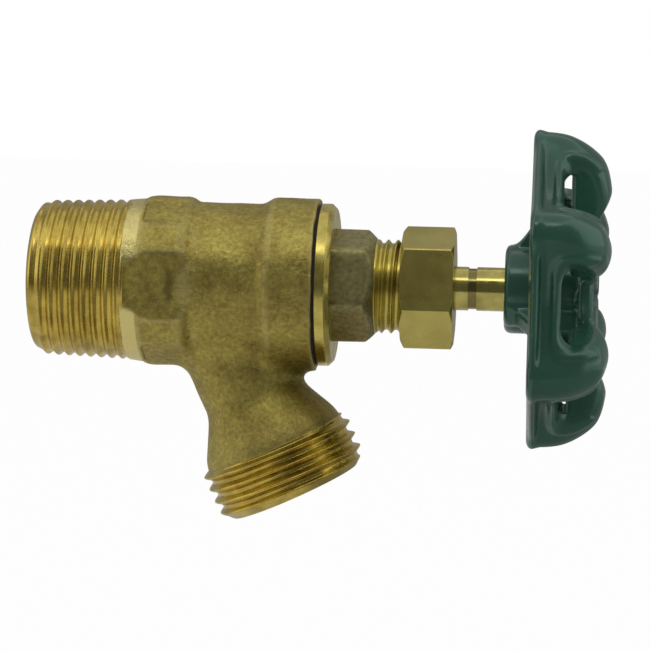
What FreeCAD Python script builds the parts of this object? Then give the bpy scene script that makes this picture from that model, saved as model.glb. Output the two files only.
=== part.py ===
import FreeCAD, Part
import math
import os

# Boiler drain valve, all lengths in millimetres, all angles in degrees.
# X runs along the valve axis from the inlet face to the handwheel. Z is up.
# The hose outlet points down and leans towards the handwheel.
# Y points away from the side that carries the clean casting face.

V = FreeCAD.Vector
AXIS = V(1, 0, 0)
ORIGIN = V(0, 0, 0)
FULL_TURN = 360.0
OCTAGON = 8
HEXAGON = 6
SQUARE = 4

# Inlet: 3/4 inch tapered pipe thread, drawn as its crest envelope
inlet_end_radius = 12.9
inlet_taper = 1.0 / 32.0
inlet_thread_length = 16.0
inlet_chamfer = 1.7
inlet_chamfer_length = 3.0
inlet_bore_radius = 9.6
inlet_bore_past_thread = 5.5

# Wrench section and its machined entry cone
octagon_flats = 27.4
octagon_length = 11.2
entry_cone_length = 3.4
octagon_fade_length = 1.2

# Barrel and bonnet collar of the casting
barrel_radius = 13.2
barrel_length = 10.8
collar_radius = 14.3
collar_length = 9.4
collar_bevel = 1.1
collar_bevel_length = 2.0

# Seat wall between inlet and chamber
seat_wall = 6.0
orifice_radius = 4.6
seat_lip_width = 1.2
seat_lip_height = 1.0
chamber_radius = 10.3

# Outlet: 3/4 inch garden hose thread on a leaning neck
outlet_lean = 23.0
outlet_foot_offset = 2.3
outlet_reach = 37.8
neck_radius = 9.0
flare_length = 7.9
hose_thread_radius = 13.28
hose_thread_length = 7.3
hose_chamfer = 1.4
passage_radius = 6.4
mouth_radius = 9.2
mouth_depth = 7.0
mouth_taper = 2.4

# Bonnet
socket_step = 0.7
socket_depth = 7.6
thread_gap = 0.05
gasket_thickness = 0.5
gasket_inset = 0.2
flange_radius = 13.5
flange_thickness = 2.6
flange_chamfer = 0.9
bonnet_hex_flats = 16.8
bonnet_hex_corner_radius = 9.3
bonnet_hex_length = 5.0
bonnet_hex_turn = 12.2
bonnet_slope_length = 1.5
bonnet_thread_radius = 7.8
bonnet_thread_length = 8.1
bonnet_thread_shown = 4.4
bonnet_nut_length = 11.5
bonnet_end_chamfer = 0.5
head_recess_gap = 0.6
box_radius = 5.6

# Packing nut and what it presses on
nut_flats = 17.8
nut_length = 8.7
nut_end_wall = 2.4
nut_turn = 11.7
nut_chamfer = 0.9
nut_chamfer_length = 0.55
packing_washer_thickness = 1.0
packing_length = 4.5
packing_gap = 0.05
gland_gap = 0.1
stem_hole_gap = 0.15

# Stem, shown closed
stem_radius = 3.63
stem_thread_radius = 4.9
stem_thread_length = 13.0
stem_thread_runout = 0.6
stem_running_gap = 0.08
stem_groove_depth = 0.25
stem_groove_width = 1.4
stem_groove_offset = 2.3
stem_shown = 8.3
head_radius = 7.0
head_thickness = 3.8
head_chamfer = 0.8
cup_depth = 1.2
cup_wall = 0.6
cup_gap = 0.35

# Seat washer and its screw
washer_thickness = 3.2
washer_hole_radius = 2.4
small_screw_radius = 1.95
small_screw_depth = 6.0
screw_end_gap = 0.5
small_screw_head_radius = 3.4
small_screw_head_height = 1.5
small_screw_slot_width = 0.9
small_screw_slot_depth = 0.7

# Stem square, handwheel screw and lock washer
square_flats = 5.6
square_gap = 0.05
square_setback = 0.4
wheel_screw_radius = 1.9
wheel_screw_depth = 8.0
wheel_screw_head_radius = 3.9
wheel_screw_head_height = 1.8
wheel_screw_head_chamfer = 0.8
wheel_screw_slot_width = 1.1
wheel_screw_slot_depth = 0.9
lock_washer_radius = 4.4
lock_washer_thickness = 0.8
screw_gap = 0.05

# Handwheel: a hollow six-lobed bell, open to the back, with six windows
wheel_lobes = 6
wheel_radius = 26.5
wheel_lobe_radius = 3.6
wheel_waist_depth = 4.3
wheel_wall = 2.3
wheel_depth = 12.95
wheel_dome_setback = 12.45
wheel_dome_radius = 13.7
wheel_crest_width = 2.0
wheel_dish_depth = 2.1
wheel_dish_radius = 12.6
wheel_rim_offset = 4.15
wheel_window_turn = -3.0
window_step = 5.2
window_corner = 3.2
window_inner_radius = 12.4
window_apex_share = 0.9
window_foot_width = 7.4
window_rim_width = 17.6
spoke_corner = 1.6
valley_radius = 8.5
valley_depth = 2.0
hub_radius = 7.2
hub_chamfer = 0.8
hub_length = 11.65
hub_pocket_radius = 5.6
rib_count = 3
rib_thickness = 3.4
rib_foot_radius = 12.9
rib_top_radius = 20.4

# Extra length that a cutting or joining shape has past the face it crosses, and a tolerance on places
overrun = 1.0
tiny = 0.01

# Places along the valve axis, worked out from the lengths
octagon_x = inlet_thread_length
barrel_x = octagon_x + octagon_length
collar_x = barrel_x + barrel_length
collar_end_x = collar_x + collar_length
inlet_bore_depth = octagon_x + inlet_bore_past_thread
seat_x = inlet_bore_depth + seat_wall
seat_face_x = seat_x + seat_lip_height
flange_x = collar_end_x + gasket_thickness
bonnet_hex_x = flange_x + flange_thickness
bonnet_slope_x = bonnet_hex_x + bonnet_hex_length
bonnet_thread_x = bonnet_slope_x + bonnet_slope_length
bonnet_end_x = bonnet_thread_x + bonnet_thread_length
nut_x = bonnet_thread_x + bonnet_thread_shown
nut_end_x = nut_x + nut_length
nut_wall_x = nut_end_x - nut_end_wall
shank_x = collar_end_x - socket_depth + gasket_thickness
washer_back_x = seat_face_x + washer_thickness
head_x = washer_back_x - cup_depth
head_end_x = head_x + cup_depth + head_thickness
bonnet_nut_x = bonnet_slope_x - bonnet_nut_length
box_x = bonnet_slope_x
hub_x = nut_end_x + stem_shown
hub_end_x = hub_x + hub_length
square_end_x = hub_end_x - square_setback
rim_x = hub_x + wheel_rim_offset
wheel_front_x = rim_x + wheel_depth
dish_x = wheel_front_x - wheel_dish_depth
outlet_foot_x = barrel_x + outlet_foot_offset

# Radii that follow from others
socket_radius = chamber_radius + socket_step
gasket_radius = flange_radius - gasket_inset


def half_revolve(outline):
    """Solid of revolution about the valve axis from a list of (x, radius) corners."""
    corners = [V(x, 0, r) for x, r in outline]
    face = Part.Face(Part.makePolygon(corners + corners[:1]))
    return face.revolve(ORIGIN, AXIS, FULL_TURN)


def disc(x, end_x, radius):
    """Plain cylinder on the valve axis between two places."""
    return Part.makeCylinder(radius, end_x - x, V(x, 0, 0), AXIS)


def ring(x, end_x, outer, inner):
    """Tube on the valve axis between two places."""
    return disc(x, end_x, outer).cut(disc(x, end_x, inner))


def corner_radius(sides, flats):
    """Distance from the axis to the corners of a regular bar."""
    return flats / 2 / math.cos(math.pi / sides)


def prism(sides, flats, x, end_x, turn):
    """Regular bar on the valve axis, with one flat facing -Y turned up by the angle."""
    step = FULL_TURN / sides
    corners = []
    for index in range(sides):
        corners.append(around(x, corner_radius(sides, flats), turn + step * (index + 0.5)))
    face = Part.Face(Part.makePolygon(corners + corners[:1]))
    return face.extrude(V(end_x - x, 0, 0))


def around(x, radius, angle):
    """Point at an angle from -Y towards +Z."""
    bearing = math.radians(angle)
    return V(x, -radius * math.cos(bearing), radius * math.sin(bearing))


def turned(shape, angle):
    """Copy turned about the valve axis, from -Y towards +Z."""
    copy = shape.copy()
    copy.rotate(ORIGIN, AXIS, -angle)
    return copy


def outlet_point(distance):
    """Point on the outlet axis, at a distance from the valve axis."""
    lean = math.radians(outlet_lean)
    return V(outlet_foot_x + distance * math.sin(lean), 0, -distance * math.cos(lean))


def outlet_axis():
    """Unit vector down the outlet."""
    lean = math.radians(outlet_lean)
    return V(math.sin(lean), 0, -math.cos(lean))


def outlet_disc(distance, length, radius):
    """Plain cylinder on the outlet axis."""
    return Part.makeCylinder(radius, length, outlet_point(distance), outlet_axis())


def outlet_cone(distance, length, radius, end_radius):
    """Cone on the outlet axis."""
    return Part.makeCone(radius, end_radius, length, outlet_point(distance), outlet_axis())


def slotted(head, x, width, depth):
    """Screw head with a driver slot cut into the face at x, towards the axis direction of depth."""
    span = head.BoundBox.YLength + overrun
    low_x = min(x, x + depth)
    slot = Part.makeBox(abs(depth), span, width, V(low_x, -span / 2, -width / 2))
    return head.cut(slot)


def body():
    """The casting: threaded inlet, wrench section, barrel, collar and hose outlet."""
    thread_end_radius = inlet_end_radius + inlet_taper * inlet_thread_length
    octagon_corner = corner_radius(OCTAGON, octagon_flats)
    inlet = half_revolve([
        (0, 0),
        (0, inlet_end_radius - inlet_chamfer),
        (inlet_chamfer_length, inlet_end_radius + inlet_taper * inlet_chamfer_length),
        (inlet_thread_length, thread_end_radius),
        (inlet_thread_length + overrun, thread_end_radius),
        (inlet_thread_length + overrun, 0),
    ])
    wrench = prism(OCTAGON, octagon_flats, octagon_x, barrel_x, 0)
    limits = half_revolve([
        (octagon_x, 0),
        (octagon_x, thread_end_radius - inlet_taper),
        (octagon_x + entry_cone_length, octagon_corner),
        (barrel_x - octagon_fade_length, octagon_corner),
        (barrel_x, barrel_radius),
        (barrel_x, 0),
    ])
    wrench = wrench.common(limits)
    barrel = disc(barrel_x - octagon_fade_length, collar_x + overrun, barrel_radius)
    collar = half_revolve([
        (collar_x, 0),
        (collar_x, collar_radius - collar_bevel),
        (collar_x + collar_bevel_length, collar_radius),
        (collar_end_x, collar_radius),
        (collar_end_x, 0),
    ])

    thread_foot = outlet_reach - hose_thread_length
    neck_length = thread_foot - flare_length
    neck = outlet_disc(0, neck_length + overrun, neck_radius)
    flare = outlet_cone(neck_length, flare_length, neck_radius, hose_thread_radius)
    thread = outlet_disc(thread_foot, hose_thread_length - hose_chamfer, hose_thread_radius)
    rim = outlet_cone(outlet_reach - hose_chamfer, hose_chamfer, hose_thread_radius,
                      hose_thread_radius - hose_chamfer)
    joined = inlet.fuse([wrench, barrel, collar, neck, flare, thread, rim]).removeSplitter()

    waterway = disc(0, inlet_bore_depth, inlet_bore_radius)
    orifice = disc(inlet_bore_depth, seat_x, orifice_radius)
    lip = ring(seat_x, seat_face_x, orifice_radius + seat_lip_width, orifice_radius)
    chamber = disc(seat_x, shank_x, chamber_radius).cut(lip)
    socket = disc(shank_x, collar_end_x, socket_radius)
    mouth_start = outlet_reach - mouth_depth
    below_seat = disc(inlet_bore_depth, seat_x, barrel_radius)
    passage = outlet_disc(0, mouth_start, passage_radius).cut(below_seat.fuse(lip))
    passage = passage.cut(disc(shank_x, collar_end_x, collar_radius))
    taper = outlet_cone(mouth_start - mouth_taper, mouth_taper, passage_radius, mouth_radius)
    mouth = outlet_disc(mouth_start, mouth_depth + overrun, mouth_radius)
    hollows = waterway.fuse([orifice, chamber, socket, passage, taper, mouth])
    return joined.cut(hollows).removeSplitter()


def bonnet():
    """Flanged cap with its shank, wrench hexagon, packing thread and stuffing box."""
    shank = disc(shank_x, flange_x, socket_radius - thread_gap)
    flange = half_revolve([
        (flange_x, 0),
        (flange_x, flange_radius),
        (bonnet_hex_x - flange_chamfer, flange_radius),
        (bonnet_hex_x, flange_radius - flange_chamfer),
        (bonnet_hex_x, 0),
    ])
    bar = prism(HEXAGON, bonnet_hex_flats, bonnet_hex_x, bonnet_thread_x, bonnet_hex_turn)
    limits = half_revolve([
        (bonnet_hex_x, 0),
        (bonnet_hex_x, bonnet_hex_corner_radius),
        (bonnet_slope_x, bonnet_hex_corner_radius),
        (bonnet_thread_x, bonnet_thread_radius),
        (bonnet_thread_x, 0),
    ])
    bar = bar.common(limits)
    thread = half_revolve([
        (bonnet_thread_x, 0),
        (bonnet_thread_x, bonnet_thread_radius),
        (bonnet_end_x - bonnet_end_chamfer, bonnet_thread_radius),
        (bonnet_end_x, bonnet_thread_radius - bonnet_end_chamfer),
        (bonnet_end_x, 0),
    ])
    solid = shank.fuse([flange, bar, thread]).removeSplitter()
    recess = disc(shank_x, bonnet_nut_x, head_radius + head_recess_gap)
    stem_bore = disc(shank_x, box_x + overrun, stem_thread_radius + stem_running_gap)
    box = disc(box_x, bonnet_end_x, box_radius)
    return solid.cut(recess).cut(stem_bore).cut(box)


def bonnet_gasket():
    """Fibre washer between the collar and the bonnet flange."""
    return ring(collar_end_x, flange_x, gasket_radius, socket_radius)


def packing_washer():
    """Brass washer at the bottom of the stuffing box."""
    start = box_x
    return ring(start, start + packing_washer_thickness, box_radius - gland_gap, stem_radius + stem_hole_gap)


def packing_ring():
    """Graphite packing round the stem."""
    start = box_x + packing_washer_thickness
    return ring(start, start + packing_length, box_radius - packing_gap, stem_radius + packing_gap)


def packing_gland():
    """Follower that the nut presses onto the packing."""
    start = box_x + packing_washer_thickness + packing_length
    return ring(start, nut_wall_x, box_radius - gland_gap, stem_radius + stem_hole_gap)


def packing_nut():
    """Hexagon nut with chamfered ends on the bonnet thread."""
    nut_corner = corner_radius(HEXAGON, nut_flats)
    bar = prism(HEXAGON, nut_flats, nut_x, nut_end_x, nut_turn)
    limits = half_revolve([
        (nut_x, 0),
        (nut_x, nut_corner - nut_chamfer),
        (nut_x + nut_chamfer_length, nut_corner),
        (nut_end_x - nut_chamfer_length, nut_corner),
        (nut_end_x, nut_corner - nut_chamfer),
        (nut_end_x, 0),
    ])
    bar = bar.common(limits)
    thread_bore = disc(nut_x, nut_wall_x, bonnet_thread_radius + thread_gap)
    hole = disc(nut_wall_x - overrun, nut_end_x, stem_radius + stem_hole_gap)
    return bar.cut(thread_bore).cut(hole)


def stem():
    """Head with its washer cup, lifting thread, plain shaft and square end."""
    cup_radius = head_radius - cup_wall
    thread_end_x = head_end_x + stem_thread_length
    groove_x = nut_end_x + stem_groove_offset
    groove_radius = stem_radius - stem_groove_depth
    shaft = half_revolve([
        (head_x, 0),
        (head_x, head_radius),
        (head_end_x - head_chamfer, head_radius),
        (head_end_x, head_radius - head_chamfer),
        (head_end_x, stem_thread_radius),
        (thread_end_x - stem_thread_runout, stem_thread_radius),
        (thread_end_x, stem_radius),
        (groove_x, stem_radius),
        (groove_x, groove_radius),
        (groove_x + stem_groove_width, groove_radius),
        (groove_x + stem_groove_width, stem_radius),
        (hub_x, stem_radius),
        (hub_x, 0),
    ])
    square = prism(SQUARE, square_flats, hub_x, square_end_x, wheel_window_turn)
    square = square.common(disc(hub_x, square_end_x, stem_radius))
    solid = shaft.fuse(square)
    cup = disc(head_x, washer_back_x, cup_radius)
    small_hole = disc(head_x, washer_back_x + small_screw_depth, small_screw_radius + screw_gap)
    wheel_hole = disc(square_end_x - wheel_screw_depth, square_end_x, wheel_screw_radius + screw_gap)
    return solid.cut(cup).cut(small_hole).cut(wheel_hole)


def seat_washer():
    """Rubber washer that closes on the seat."""
    radius = head_radius - cup_wall - cup_gap
    return ring(seat_face_x, washer_back_x, radius, washer_hole_radius)


def seat_washer_screw():
    """Screw that holds the washer in the cup, its head inside the orifice."""
    head = disc(seat_face_x - small_screw_head_height, seat_face_x, small_screw_head_radius)
    head = slotted(head, seat_face_x - small_screw_head_height, small_screw_slot_width,
                   small_screw_slot_depth)
    shank = disc(seat_face_x, washer_back_x + small_screw_depth - screw_end_gap, small_screw_radius)
    return head.fuse(shank).removeSplitter()


def handwheel_washer():
    """Washer under the handwheel screw."""
    return ring(hub_end_x, hub_end_x + lock_washer_thickness, lock_washer_radius,
                wheel_screw_radius + screw_gap)


def handwheel_screw():
    """Screw that holds the handwheel on the stem square."""
    head_start = hub_end_x + lock_washer_thickness
    head_stop = head_start + wheel_screw_head_height
    head = half_revolve([
        (head_start, 0),
        (head_start, wheel_screw_head_radius),
        (head_stop - wheel_screw_head_chamfer, wheel_screw_head_radius),
        (head_stop, wheel_screw_head_radius - wheel_screw_head_chamfer),
        (head_stop, 0),
    ])
    head = slotted(head, head_stop, wheel_screw_slot_width, -wheel_screw_slot_depth)
    shank = disc(square_end_x - wheel_screw_depth + screw_end_gap, head_start, wheel_screw_radius)
    return head.fuse(shank).removeSplitter()


def lobed_outline(inset, x, end_x):
    """Prism on the six-lobed outline: round lobes joined by shallow hollow arcs."""
    half_step = math.pi / wheel_lobes
    lobe_centre = wheel_radius - wheel_lobe_radius
    waist_radius = wheel_radius - wheel_waist_depth
    gain = lobe_centre * math.cos(half_step)
    spread = lobe_centre ** 2 + waist_radius ** 2 - 2 * gain * waist_radius - wheel_lobe_radius ** 2
    hollow_radius = spread / 2 / (wheel_lobe_radius + gain - waist_radius)
    hollow_centre = waist_radius + hollow_radius
    lobe_radius = wheel_lobe_radius - inset
    hollow_radius = hollow_radius + inset
    step = FULL_TURN / wheel_lobes
    edges = []
    for index in range(wheel_lobes):
        window_angle = wheel_window_turn + step * index
        lobe_angle = window_angle + step / 2
        lobe = around(x, lobe_centre, lobe_angle)
        before = around(x, hollow_centre, window_angle)
        after = around(x, hollow_centre, window_angle + step)
        start = lobe + (before - lobe).normalize() * lobe_radius
        tip = lobe + (lobe - V(x, 0, 0)).normalize() * lobe_radius
        stop = lobe + (after - lobe).normalize() * lobe_radius
        waist = around(x, hollow_centre - hollow_radius, window_angle + step)
        following = around(x, lobe_centre, lobe_angle + step)
        far = following + (after - following).normalize() * lobe_radius
        edges.append(Part.Arc(start, tip, stop).toShape())
        edges.append(Part.Arc(stop, waist, far).toShape())
    face = Part.Face(Part.Wire(edges))
    return face.extrude(V(end_x - x, 0, 0))


def bell(inset):
    """Solid under the domed profile of the wheel: an arc outside, two straight flanks for the inside."""
    centre_x = wheel_front_x - wheel_dome_setback
    centre_radius = wheel_radius - wheel_dome_radius
    dome = wheel_dome_radius - inset
    start_x = min(rim_x, centre_x) - overrun
    front = wheel_front_x - inset
    front_angle = math.asin((front - centre_x) / dome)
    crest = centre_radius + dome * math.cos(front_angle)
    middle = V(centre_x + dome * math.sin(front_angle / 2), 0,
               centre_radius + dome * math.cos(front_angle / 2))
    corners = [
        V(front, 0, crest),
        V(front, 0, crest - wheel_crest_width),
        V(dish_x - inset, 0, wheel_dish_radius),
        V(dish_x - inset, 0, 0),
        V(start_x, 0, 0),
        V(start_x, 0, centre_radius + dome),
        V(centre_x, 0, centre_radius + dome),
    ]
    if inset > 0:
        edges = [Part.makeLine(corners[-1], middle), Part.makeLine(middle, corners[0])]
    else:
        edges = [Part.Arc(corners[-1], middle, corners[0]).toShape()]
    for start, end in zip(corners, corners[1:]):
        edges.append(Part.makeLine(start, end))
    return Part.Face(Part.Wire(edges)).revolve(ORIGIN, AXIS, FULL_TURN)


def window_cutter():
    """One window: a wedge between two spokes, open to the front and through the rim above its step."""
    reach = wheel_radius + overrun
    floor_x = rim_x + window_step
    near = window_foot_width / 2
    spread = (window_rim_width - window_foot_width) / 2 / (wheel_radius - window_inner_radius)
    far = near + (reach - window_inner_radius) * spread
    corners = [
        V(floor_x, -window_inner_radius, -near),
        V(floor_x, -window_inner_radius, near),
        V(floor_x, -reach, far),
        V(floor_x, -reach, -far),
    ]
    face = Part.Face(Part.makePolygon(corners + corners[:1]))
    wedge = face.extrude(V(wheel_front_x - floor_x + overrun, 0, 0))
    upright = [edge for edge in wedge.Edges
               if edge.BoundBox.XLength > overrun and edge.BoundBox.YMax > -window_inner_radius - tiny]
    wedge = wedge.makeFillet(min(spoke_corner, near * window_apex_share), upright)
    floor = [edge for edge in wedge.Edges
             if edge.BoundBox.XMax < floor_x + tiny and edge.BoundBox.YLength > spoke_corner
             and edge.BoundBox.ZLength > spoke_corner]
    return wedge.makeFillet(window_corner, floor)


def wheel_rib():
    """Web between the hub and the inside of the bell, facing -Y."""
    inner_front_x = wheel_front_x - wheel_wall
    outline = [
        V(hub_x + hub_chamfer, 0, 0),
        V(hub_x + hub_chamfer, -hub_radius, 0),
        V(rim_x, -rib_foot_radius, 0),
        V(inner_front_x, -rib_top_radius, 0),
        V(inner_front_x, 0, 0),
    ]
    rib = Part.Face(Part.makePolygon(outline + outline[:1])).extrude(V(0, 0, rib_thickness))
    rib.translate(V(0, 0, -rib_thickness / 2))
    return rib.common(bell(wheel_wall / 2).fuse(disc(hub_x, rim_x, wheel_radius)))


def handwheel():
    """Hollow bell with lobed skirt, arched spokes, windows, hub and ribs."""
    outside = lobed_outline(0, rim_x, wheel_front_x).common(bell(0))
    inside = lobed_outline(wheel_wall, rim_x, wheel_front_x).common(bell(wheel_wall))
    valley = Part.makeCylinder(valley_radius, wheel_radius + overrun,
                               V(wheel_front_x - valley_depth + valley_radius, 0, 0), V(0, -1, 0))
    step = FULL_TURN / wheel_lobes
    window = window_cutter()
    valleys = [turned(valley, wheel_window_turn + step * index) for index in range(wheel_lobes)]
    windows = [turned(window, wheel_window_turn + step * index) for index in range(wheel_lobes)]
    keep = disc(rim_x, wheel_front_x + overrun, wheel_dish_radius)
    shell = outside.cut(valleys[0].fuse(valleys[1:]).cut(keep)).cut(inside)

    hub = half_revolve([
        (hub_x, 0),
        (hub_x, hub_radius - hub_chamfer),
        (hub_x + hub_chamfer, hub_radius),
        (dish_x, hub_radius),
        (dish_x, 0),
    ])
    rib = wheel_rib()
    first_rib = wheel_window_turn + 1.5 * step
    ribs = [turned(rib, first_rib + index * FULL_TURN / rib_count) for index in range(rib_count)]
    wheel = shell.fuse([hub] + ribs)
    for cutter in windows:
        wheel = wheel.cut(cutter)
    pocket = disc(hub_end_x, wheel_front_x, hub_pocket_radius)
    hole = prism(SQUARE, square_flats + 2 * square_gap, hub_x, square_end_x, wheel_window_turn)
    hole = hole.common(disc(hub_x, square_end_x, stem_radius + square_gap))
    clearance = disc(square_end_x, hub_end_x, wheel_screw_radius + screw_gap)
    return wheel.cut(pocket).cut(hole).cut(clearance).removeSplitter()


NODES = {
    "body": body,
    "bonnet": bonnet,
    "bonnet_gasket": bonnet_gasket,
    "packing_washer": packing_washer,
    "packing_ring": packing_ring,
    "packing_gland": packing_gland,
    "packing_nut": packing_nut,
    "stem": stem,
    "seat_washer": seat_washer,
    "seat_washer_screw": seat_washer_screw,
    "handwheel": handwheel,
    "handwheel_washer": handwheel_washer,
    "handwheel_screw": handwheel_screw,
}

os.makedirs("parts", exist_ok=True)
for name, maker in NODES.items():
    shape = maker()
    box = shape.BoundBox
    print(f"{name}: solids {len(shape.Solids)} valid {shape.isValid()} volume {shape.Volume:.1f} "
          f"x {box.XMin:.2f} {box.XMax:.2f} z {box.ZMin:.2f} {box.ZMax:.2f}")
    shape.exportStep(f"parts/{name}.step")
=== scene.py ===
import math

import bpy
import numpy as np
from mathutils import Matrix, Vector


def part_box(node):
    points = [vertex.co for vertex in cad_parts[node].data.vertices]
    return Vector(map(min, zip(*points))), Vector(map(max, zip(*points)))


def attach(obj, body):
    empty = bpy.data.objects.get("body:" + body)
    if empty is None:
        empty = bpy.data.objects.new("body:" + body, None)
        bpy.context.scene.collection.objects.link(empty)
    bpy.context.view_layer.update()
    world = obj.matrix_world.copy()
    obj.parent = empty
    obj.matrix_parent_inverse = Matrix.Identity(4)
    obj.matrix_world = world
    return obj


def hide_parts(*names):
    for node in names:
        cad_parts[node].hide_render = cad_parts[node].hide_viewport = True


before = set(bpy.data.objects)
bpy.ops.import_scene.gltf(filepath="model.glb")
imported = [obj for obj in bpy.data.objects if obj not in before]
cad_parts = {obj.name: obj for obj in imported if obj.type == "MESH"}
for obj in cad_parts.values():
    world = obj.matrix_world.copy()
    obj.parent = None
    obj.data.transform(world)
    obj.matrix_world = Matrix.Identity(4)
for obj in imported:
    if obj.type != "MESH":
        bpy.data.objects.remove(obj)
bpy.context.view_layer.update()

# Lengths are in millimetres and angles in degrees until a mesh is made, which is in metres.
# X runs along the valve axis from the inlet face to the handwheel. Z is up.
MM = 0.001
TURN = 2 * math.pi


def span_x(node):
    """Lowest and highest X of a CAD node, in millimetres."""
    low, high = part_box(node)
    return low.x / MM, high.x / MM


# Inlet
inlet_radius = 12.9
inlet_taper = 1.0 / 32.0
inlet_pitch = 1.814
inlet_phase = 0.1
inlet_thread_depth = 0.5
inlet_root = 0.25
inlet_run_out = 1.2
inlet_first_share = 0.3
inlet_length = 16.0
inlet_first_x = 0.25
inlet_overlap = 0.6
inlet_round = 2.5
inlet_round_length = 2.8
inlet_bore = 9.6
inlet_bore_depth = 21.5
inlet_bore_round = 0.8
inlet_bore_chamfer = 0.5

# Casting
# A scale below 1 keeps the field of a sloping side close to a true distance.
wrench_x = 16.0
wrench_front_flat = 12.95
wrench_side_flat = 13.6
wrench_corner = 14.15
wrench_round = 0.4
wrench_fade = 1.2
wrench_fade_round = 0.6
wrench_fade_scale = 0.75
land_length = 2.6
land_rise = 0.3
land_edge_round = 0.15
flat_lift = 0.8
shoulder_length = 2.4
barrel_x = 27.2
barrel_run_in = 1.6
barrel_start_slope = 0.2
barrel_radius = 13.2
barrel_fillet = 0.4
collar_x = 38.0
collar_radius = 14.3
collar_end_x = 47.4
collar_end_round = 0.3
collar_bevel = 1.1
collar_bevel_length = 2.0
collar_bevel_round = 0.25
collar_bevel_scale = 0.88
orifice_radius = 4.6
orifice_overrun = 2.0
seat_x = 27.5
seat_lip_radius = 5.8
seat_lip_height = 1.0
chamber_radius = 10.3
socket_radius = 11.0
socket_x = 39.8
hollow_edge_round = 0.35
ripple_share = 0.7
mark_blur = 0.12
mark_end_blur = 0.3
edge_reach = 0.35
casting_margin = 1
casting_half_width = 15.5
casting_low_z = -34.5
casting_high_x = collar_end_x + 6.5

# Outlet
outlet_lean = 25.3
outlet_foot_x = 27.8
outlet_reach = 38.5
neck_radius = 8.2
neck_end_round = 0.25
neck_scale = 0.9
neck_back_fillet = 1.8
neck_front_fillet = 3.5
neck_back_x = 30.0
neck_front_x = 42.0
flare_start = 20.0
flare_end = 30.2
flare_radius = 12.0
hose_start = 30.4
hose_overlap = 0.8
hose_radius = 13.1
hose_pitch = 2.209
hose_phase = 0.585
hose_thread_depth = 1.0
hose_root = 0.22
hose_chamfer = 1.9
hose_chamfer_slope = 1.2
hose_chamfer_round = 0.6
hose_lead = 1.1
hose_lead_slope = 1.6
hose_lead_round = 0.2
hose_lead_drop = 0.3
passage_radius = 6.4
passage_round = 0.8
mouth_radius = 9.2
mouth_depth = 7.0
mouth_chamfer = 0.3

# Threads and turned edges
# An outline's points that lie further out than the bore and this margin carry the thread.
bore_margin = 1.2
edge_break = 0.1
hair = 0.02
turned_sides = 256
thread_sides = 360

# Bonnet and nut
shank_x, bonnet_end_x = span_x("bonnet")
shank_gap = 0.08
flange_x = 47.9
flange_radius = 13.5
flange_chamfer = 0.8
flange_round = 0.25
flange_relief = 0.4
flange_foot_gap = 0.2
flange_face_radius = 9.9
recess_radius = 7.6
bonnet_hex_x = 50.25
bonnet_slope_x = 55.5
bonnet_thread_x = 57.0
bonnet_hex_flats = 16.8
bonnet_hex_sink = 0.4
bonnet_hex_foot_corner = 9.6
bonnet_hex_end_corner = 9.5
bonnet_hex_turn = 12.2
bonnet_hex_round = 0.5
bonnet_hex_bore = 6.0
bonnet_thread_radius = 7.8
bonnet_thread_overlap = 0.3
bonnet_end_bevel = 0.2
bonnet_first_x = 0.2
bonnet_thread_bore = 5.6
bonnet_run_in = 0.7
bonnet_pitch = 1.6
bonnet_phase = 0.55
bonnet_thread_depth = 0.6
bonnet_root = 0.25
nut_x, nut_end_x = span_x("packing_nut")
nut_flats = 17.8
nut_turn = 11.7
nut_corner_round = 0.22
nut_chamfer_round = 0.18
nut_back_chamfer = 1.1
nut_front_chamfer = 0.9
nut_cap = 2.4
nut_gap = 0.08
nut_thread_length = 2.0
nut_bore_chamfer = 0.35
nut_bore_chamfer_length = 0.4
nut_back_chamfer_length = 0.75
nut_front_chamfer_length = 0.5
nut_blank_allowance = 0.3
nut_face_radius = 8.2
nut_edge_round = 0.15

# Stem and handwheel
stem_radius = 3.63
stem_gap = 0.18
stem_hole_chamfer = 0.5
stem_hole_chamfer_length = 0.3
stem_groove_offset = 2.3
stem_groove_width = 1.4
hub_x, wheel_front_x = span_x("handwheel")
hub_reach = 4.15
rim_x = hub_x + hub_reach
wheel_radius = 26.5
wheel_lobes = 6
wheel_turn = -3.0
wheel_wall = 2.3
lobe_radius = 3.6
skirt_waist = 5.9
lip_waist = 3.1
lip_width = 1.7
dome_radius = 13.6
dome_setback = 11.65
crest_allowance = 0.15
dish_depth = 2.1
dish_radius = 12.4
dish_rise = 3.3
crest_radius = 16.4
crest_fall = 0.16
knuckle_radius = 5.8
knuckle_foot_radius = 3.4
knuckle_least_radius = 3.0
knuckle_spread = 0.33
knuckle_flank = 0.04
valley_depth = 3.2
window_foot_width = 3.7
window_spread = 0.365
window_half_width = 7.0
window_step = 5.2
window_inner_radius = 12.4
bead_radius = 0.8
bead_sink = 0.3
bead_start = 19.5
disc_step = 8.5
disc_radius = 12.4
spoke_step = 2.1
spoke_run = 2.0
hub_radius = 7.2
pocket_radius = 5.6
pocket_floor = 11.65
stem_hole_radius = 3.7
stem_hole_depth = 11.7
wheel_ribs = 3
rib_half_width = 1.7
rib_foot_radius = 10.6
rib_end_radius = 13.6
rib_first_x = 1.0
rib_hub_gap = 0.6
rib_curve = 1.5
rib_slope = 1.4
rib_sink = 1.2

# Rounds of the handwheel
skirt_round = 1.0
dish_round = 0.6
face_round = 1.2
valley_round = 0.7
lip_round = 1.3
lip_fillet = 0.9
rim_round = 1.1
inner_round = 1.5
disc_round = 1.0
wall_round = 0.6
window_side_round = 1.6
window_end_round = 3.0
window_foot_round = 0.8
window_edge_round = 1.1
bead_fillet = 0.6
hub_round = 1.4
hub_fillet = 1.2
rib_round = 0.8
rib_fillet = 1.0
pocket_round = 0.4


# Distance fields

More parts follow.
